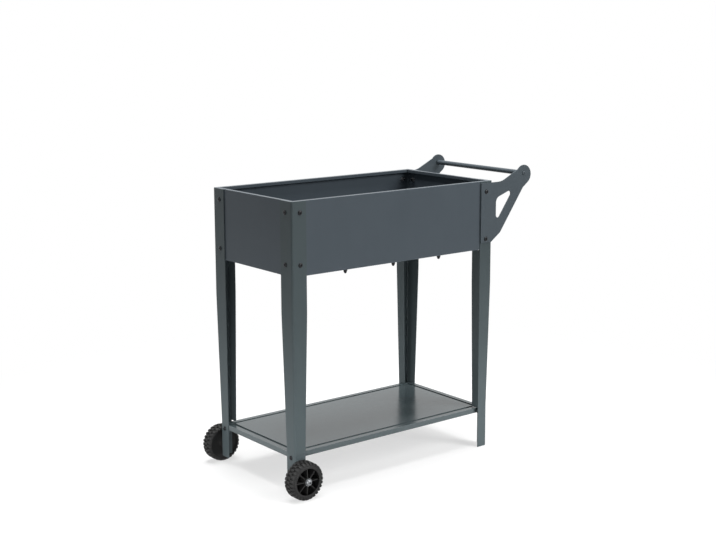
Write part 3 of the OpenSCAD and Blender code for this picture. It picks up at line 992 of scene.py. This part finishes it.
@dataclass(frozen=True)
class Wheels(SubAssembly):
    """Two moulded wheels with deep pockets, thin spokes and a lugged tread, on their axle bolts.

    Args:
        axle: X and Z of the axle, in metres.
        inner_y: From the planter's middle to the wheels' inner sides, in metres.
        radius: The radius over the lugs, in metres.
        width: The wheel's width, in metres.
        facets: How many facets the round forms have.
        bore: The axle hole's radius, in metres.
        hub: The hub's radius, in metres.
        web: Heights of the closed web's two faces above the inner side, in metres.
        pocket: The pockets' outer radius, in metres.
        pocket_lip: Depths of the pockets' lip at its edge and at the barrel, in metres.
        ring: The outer radius of the smooth ring round the pockets, in metres.
        ring_step: Width and height of the ring's sloping side, in metres.
        barrel: The barrel's inner radius, in metres.
        inner_lip: The inner side's lip: its reach inwards, and its thickness there and at its root.
        inner_slope: How far the tread's root falls on the inner side, and over what width.
        outer_slope: How far it falls on the outer side, and the depths between which it does.
        lug_height: How far the lugs stand out, in metres.
        lugs: How many lugs go round one row.
        lug_wall: A lug's length round the tread, in metres.
        lug_taper: How much narrower a lug's tip is than its root.
        lug_bevel: The bevel on a lug's edges, in metres.
        lug_bite: How far a lug sinks into the tread, in metres.
        lug_slack: How far the tips stay inside the full radius, in metres.
        groove: Half the gap between two rows, in metres.
        shoulders: How the lugs wrap over the inner and the outer shoulder.
        spokes: How many spokes there are.
        spoke_wall: A spoke's thickness, in metres.
        spoke_bite: How far a spoke sinks into what carries it, in metres.
        spoke_depth: Depths of a spoke's outer edge at the hub and at the barrel, in metres.
        rounding: The rounding of moulded corners, in metres.
        scuff_step: How far above the tread's root the scuffs show in full, in metres.
    """

    label = "wheels"
    pieces = {
        "front_wheel": Slot.WHEEL,
        "back_wheel": Slot.WHEEL,
        "axle_bolts": Slot.ZINC,
        "axle_washers": Slot.ZINC,
        "axle_spacers": Slot.WHEEL,
        "axle_nuts": Slot.ZINC,
    }
    axle: tuple[float, float] = (-0.380, 0.050)
    inner_y: float = 0.1782
    radius: float = 0.050
    width: float = 0.038
    facets: int = 112
    bore: float = 0.00405
    hub: float = 0.0105
    web: tuple[float, float] = (0.007, 0.0095)
    pocket: float = 0.0350
    pocket_lip: tuple[float, float] = (0.0030, 0.0045)
    ring: float = 0.0398
    ring_step: tuple[float, float] = (0.0010, 0.0012)
    barrel: float = 0.0432
    inner_lip: tuple[float, float, float] = (0.0026, 0.0020, 0.0025)
    inner_slope: tuple[float, float] = (0.0026, 0.0046)
    outer_slope: tuple[float, float, float] = (0.0030, 0.0056, 0.0016)
    lug_height: float = 0.0032
    lugs: int = 28
    lug_wall: float = 0.0074
    lug_taper: float = 0.22
    lug_bevel: float = 0.00045
    lug_bite: float = 0.0012
    lug_slack: float = 0.00012
    groove: float = 0.0008
    shoulders: tuple[Shoulder, Shoulder] = (
        Shoulder(bend=0.0062, fall=0.0024, edge=0.0008, depth=0.0016, foot=(0.0004, 0.0042)),
        Shoulder(bend=0.0066, fall=0.0026, edge=0.0012, depth=0.0034, foot=(0.0006, 0.0044)),
    )
    spokes: int = 8
    spoke_wall: float = 0.0026
    spoke_bite: float = 0.0010
    spoke_depth: tuple[float, float] = (0.0024, 0.0052)
    rounding: float = 0.0005
    scuff_step: float = 0.0025

    @property
    def root(self) -> float:
        """The radius of the tread between the lugs."""
        return self.radius - self.lug_height

    def coats(self) -> dict[Slot, bpy.types.Material]:
        """Mixes the moulded plastic.

        Returns:
            The finish by slot.
        """
        finish = MouldedPlastic(
            "charcoal_moulding",
            colour=(0.0060, 0.0060, 0.0060),
            scuffed=(0.024, 0.024, 0.0235),
            axle=self.axle,
            tread=(self.root, self.root + self.scuff_step),
        )
        return {Slot.WHEEL: finish.material()}

    def body(self) -> bmesh.types.BMesh:
        """Spins the hub, the web, the barrel and the two side rings as one closed form.

        Returns:
            The mesh.
        """
        part = bmesh.new()
        root, width, low, high = self.root, self.width, *self.web
        lip, lip_edge, lip_root = self.inner_lip
        inner_fall, inner_width = self.inner_slope
        outer_fall, outer_start, outer_end = self.outer_slope
        ring_width, ring_height = self.ring_step
        pocket_edge, pocket_root = self.pocket_lip
        inner_side = (
            (self.bore, 0.0),
            (self.hub, 0.0),
            (self.hub, low),
            (self.barrel, low),
            (self.barrel, lip_root),
            (self.barrel - lip, lip_edge),
            (self.barrel - lip, 0.0),
            (root - inner_fall, 0.0),
            (root, inner_width),
        )
        outer_side = (
            (root, width - outer_start),
            (root - outer_fall, width - outer_end),
            (self.ring + ring_width, width - ring_height),
            (self.ring, width),
            (self.pocket, width),
            (self.pocket, width - pocket_edge),
            (self.barrel, width - pocket_root),
            (self.barrel, high),
            (self.hub, high),
            (self.hub, width),
            (self.bore, width),
        )
        rounded_face(part, inner_side + outer_side, self.rounding)
        bmesh.ops.delete(part, geom=part.faces[:], context="FACES_ONLY")
        bmesh.ops.spin(
            part,
            geom=everything(part),
            cent=CENTRE,
            axis=AXLE_LINE,
            angle=2.0 * math.pi,
            steps=self.facets,
            use_merge=True,
        )
        return part

    def spoke_ring(self) -> bmesh.types.BMesh:
        """Stands the thin spokes on the web between the hub and the barrel.

        Returns:
            The mesh.
        """
        part = bmesh.new()
        inner, outer = self.hub - self.spoke_bite, self.barrel + self.spoke_bite
        foot = self.web[0] + self.spoke_bite
        at_hub, at_barrel = (self.width - depth for depth in self.spoke_depth)
        corners = ((inner, foot), (outer, foot), (outer, at_barrel), (inner, at_hub))
        self._thicken(part, rounded_face(part, corners, self.rounding), self.spoke_wall)
        soften(part, self.rounding)
        repeat_round(part, self.spokes)
        return part

    @staticmethod
    def _thicken(part: bmesh.types.BMesh, face: bmesh.types.BMFace, wall: float) -> None:
        """Pulls a face into a plate that is centred on the plane through the axle.

        Args:
            part: The mesh with the face.
            face: The face.
            wall: The plate's thickness in metres.
        """
        moved = bmesh.ops.extrude_face_region(part, geom=[face])["geom"]
        corners = [item for item in moved if isinstance(item, bmesh.types.BMVert)]
        bmesh.ops.translate(part, verts=corners, vec=(0.0, wall, 0.0))
        bmesh.ops.translate(part, verts=part.verts[:], vec=(0.0, -wall / 2.0, 0.0))

    def _narrow(self, part: bmesh.types.BMesh) -> None:
        """Tapers a lug towards its tip.

        Args:
            part: The mesh with the lug.
        """
        for corner in part.verts:
            rise = min(1.0, max(0.0, (corner.co.x - self.root) / self.lug_height))
            corner.co.y *= 1.0 - self.lug_taper * rise

    def lug_rows(self) -> list[bmesh.types.BMesh]:
        """Sets three rows of lugs; the outer rows wrap over the tread's shoulders.

        Returns:
            One mesh for each row.
        """
        root, tip = self.root - self.lug_bite, self.radius - self.lug_slack
        row = self.width / 3.0
        inside = row - self.groove
        inner, mirrored = (each.outline(root, tip, inside) for each in self.shoulders)
        low, high = row + self.groove, 2.0 * row - self.groove
        middle = [(root, low), (root, high), (tip, high), (tip, low)]
        outer = [(radius, self.width - depth) for radius, depth in mirrored]
        rows = []
        half_pitch = math.pi / self.lugs
        for outline, turn in ((inner, 0.0), (middle, half_pitch), (outer, 0.0)):
            part = bmesh.new()
            self._thicken(part, outline_face(part, outline), self.lug_wall)
            self._narrow(part)
            bmesh.ops.recalc_face_normals(part, faces=part.faces[:])
            soften(part, self.lug_bevel)
            repeat_round(part, self.lugs, turn)
            rows.append(part)
        return rows

    def build(self, materials: dict[Slot, bpy.types.Material]) -> None:
        """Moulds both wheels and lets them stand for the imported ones.

        Args:
            materials: The finishes by slot.
        """
        for side, name in ((-1.0, "front"), (1.0, "back")):
            outwards = Matrix.Rotation(-side * math.pi / 2.0, 4, "X")
            place = Matrix.Translation((self.axle[0], side * self.inner_y, self.axle[1])) @ outwards
            parts = [self.body(), self.spoke_ring(), *self.lug_rows()]
            wheel = joined(f"{name}_moulded_wheel", parts, place)
            put_on(wheel, materials[Slot.WHEEL])
            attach(wheel, f"{name}_wheel_body")
            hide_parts(f"{name}_wheel")
            log.info("%s: %s has %d faces", self.label, wheel.name, len(wheel.data.polygons))


# ------------------------------------------------------------------ studio


@dataclass(frozen=True)
class Lamp:
    """One soft square lamp.

    Args:
        name: The lamp's name.
        place: Where it hangs, in metres.
        aim: The point that it faces, in metres.
        size: Its side, in metres.
        power: Its power, in watts.
        spread: The full angle over which it shines, in degrees.
    """

    name: str
    place: tuple[float, float, float]
    aim: tuple[float, float, float]
    size: float
    power: float
    spread: float = 180.0

    def hang(self) -> None:
        """Adds the lamp, unseen by the camera."""
        data = bpy.data.lights.new(self.name, "AREA")
        data.shape = "SQUARE"
        data.size = self.size
        data.energy = self.power
        data.spread = math.radians(self.spread)
        lamp = bpy.data.objects.new(self.name, data)
        lamp.location = self.place
        ahead = Vector(self.aim) - Vector(self.place)
        lamp.rotation_euler = ahead.to_track_quat("-Z", "Y").to_euler()
        lamp.visible_camera = False
        bpy.context.scene.collection.objects.link(lamp)


@dataclass(frozen=True)
class Studio:
    """Floor, surround and lamps.

    Args:
        floor_half: Half the floor's width, in metres.
        floor_grey: The floor's reflectance for the light that it throws back at the planter.
        glow: The share of the floor's look that is plain white near the planter.
        fade: Distances between which the floor turns plain white, in metres.
        ambient: The strength of the even light from all round.
        lamps: The lamps.
    """

    floor_half: float = 14.0
    floor_grey: float = 0.40
    glow: float = 0.6
    fade: tuple[float, float] = (0.7, 1.5)
    ambient: float = 0.18
    lamps: tuple[Lamp, ...] = (
        Lamp("key", (1.6, -3.2, 2.6), aim=(0.0, 0.0, 0.35), size=2.0, power=105.0),
        Lamp("top", (0.0, 0.3, 3.4), aim=(0.0, 0.0, 0.40), size=2.4, power=160.0),
        Lamp("front_low", (0.4, -2.4, 0.3), aim=(0.0, 0.0, 0.20), size=0.8, power=5.0),
        Lamp(
            "left_low",
            (-1.6, -0.3, 0.25),
            aim=(-0.3, 0.0, 0.0),
            size=0.6,
            power=0.65,
            spread=40.0,
        ),
        Lamp(
            "left_front_low",
            (-1.6, -1.3, 0.30),
            aim=(-0.35, 0.1, 0.05),
            size=0.6,
            power=1.4,
            spread=50.0,
        ),
        Lamp(
            "right_low",
            (0.95, -1.35, 0.22),
            aim=(0.28, -0.18, 0.02),
            size=0.4,
            power=0.48,
            spread=36.0,
        ),
    )

    def floor(self) -> None:
        """Lays the pale floor, which keeps the planter's shadow and is plain white further away."""
        sheet = bmesh.new()
        bmesh.ops.create_grid(sheet, x_segments=1, y_segments=1, size=self.floor_half)
        mesh = bpy.data.meshes.new("floor")
        sheet.to_mesh(mesh)
        sheet.free()
        floor = bpy.data.objects.new("floor", mesh)
        bpy.context.scene.collection.objects.link(floor)
        shader = Shader("pale_floor")
        seen = shader.seen()
        x, y, _ = shader.position()
        far = ((x * x + y * y) ** 0.5).ramp(*self.fade)
        tint = shader.blend(seen, (self.floor_grey,) * 3, WHITE)
        matt = shader.node("ShaderNodeBsdfDiffuse", Color=tint)
        white = shader.node("ShaderNodeEmission", Color=WHITE, Strength=1.0)
        share = seen * (self.glow + (1.0 - self.glow) * far)
        mixed = shader.node("ShaderNodeMixShader", Fac=share)
        shader.feed(mixed.inputs[FIRST_SHADER], matt)
        shader.feed(mixed.inputs[SECOND_SHADER], white)
        put_on(floor, shader.close(mixed))

    def surround(self) -> None:
        """Sets an even pale surround, white to the camera."""
        world = bpy.data.worlds.new("surround")
        world.use_nodes = True
        nodes = Nodes(world.node_tree)
        strength = nodes.seen() * (1.0 - self.ambient) + self.ambient
        light = nodes.node("ShaderNodeBackground", Color=WHITE, Strength=strength)
        nodes.node("ShaderNodeOutputWorld", Surface=light)
        bpy.context.scene.world = world

    def build(self) -> None:
        """Builds the whole studio."""
        self.floor()
        self.surround()
        for lamp in self.lamps:
            lamp.hang()


@dataclass(frozen=True)
class Viewpoint:
    """The camera, as fitted to the picture's own frame.

    Args:
        width: The picture's width in pixels.
        height: The picture's height in pixels.
        focal: The focal length in pixels.
        centre: The optical centre in pixels.
        place: The camera's place in metres.
        yaw: Its turn from +Y towards +X, in degrees.
        pitch: How far it looks down, in degrees.
        roll: Its roll, in degrees.
        sensor: The sensor's width, in millimetres.
    """

    width: int = 716
    height: int = 540
    focal: float = 1308.3
    centre: tuple[float, float] = (375.63, 248.46)
    place: tuple[float, float, float] = (-2.22576, -2.79154, 1.21280)
    yaw: float = 38.727
    pitch: float = 10.048
    roll: float = -0.056
    sensor: float = 36.0

    def camera(self) -> None:
        """Builds the camera and makes it the scene's."""
        data = bpy.data.cameras.new("camera")
        data.sensor_fit = "HORIZONTAL"
        data.sensor_width = self.sensor
        data.lens = self.focal * self.sensor / self.width
        data.shift_x = (self.width / 2 - self.centre[0]) / self.width
        data.shift_y = (self.centre[1] - self.height / 2) / self.width
        yaw, pitch, roll = (math.radians(a) for a in (self.yaw, self.pitch, self.roll))
        flat = math.cos(pitch)
        ahead = Vector((math.sin(yaw) * flat, math.cos(yaw) * flat, -math.sin(pitch)))
        level = Vector((math.cos(yaw), -math.sin(yaw), 0.0))
        over = level.cross(ahead)
        right = level * math.cos(roll) + over * math.sin(roll)
        up = over * math.cos(roll) - level * math.sin(roll)
        turn = Matrix((right, up, -ahead)).transposed()
        camera = bpy.data.objects.new("camera", data)
        camera.matrix_world = Matrix.Translation(self.place) @ turn.to_4x4()
        bpy.context.scene.collection.objects.link(camera)
        bpy.context.scene.camera = camera


def main() -> None:
    """Builds the studio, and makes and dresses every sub-assembly."""
    logging.basicConfig(level=logging.INFO, format="%(name)s: %(message)s")
    bpy.context.scene.view_settings.view_transform = "Standard"
    Viewpoint().camera()
    Studio().build()
    shared = Finishes().shared()
    for part in (Trough(), Legs(), Shelf(), Handle(), Wheels()):
        part.dress(shared)


if __name__ == "__main__":
    main()
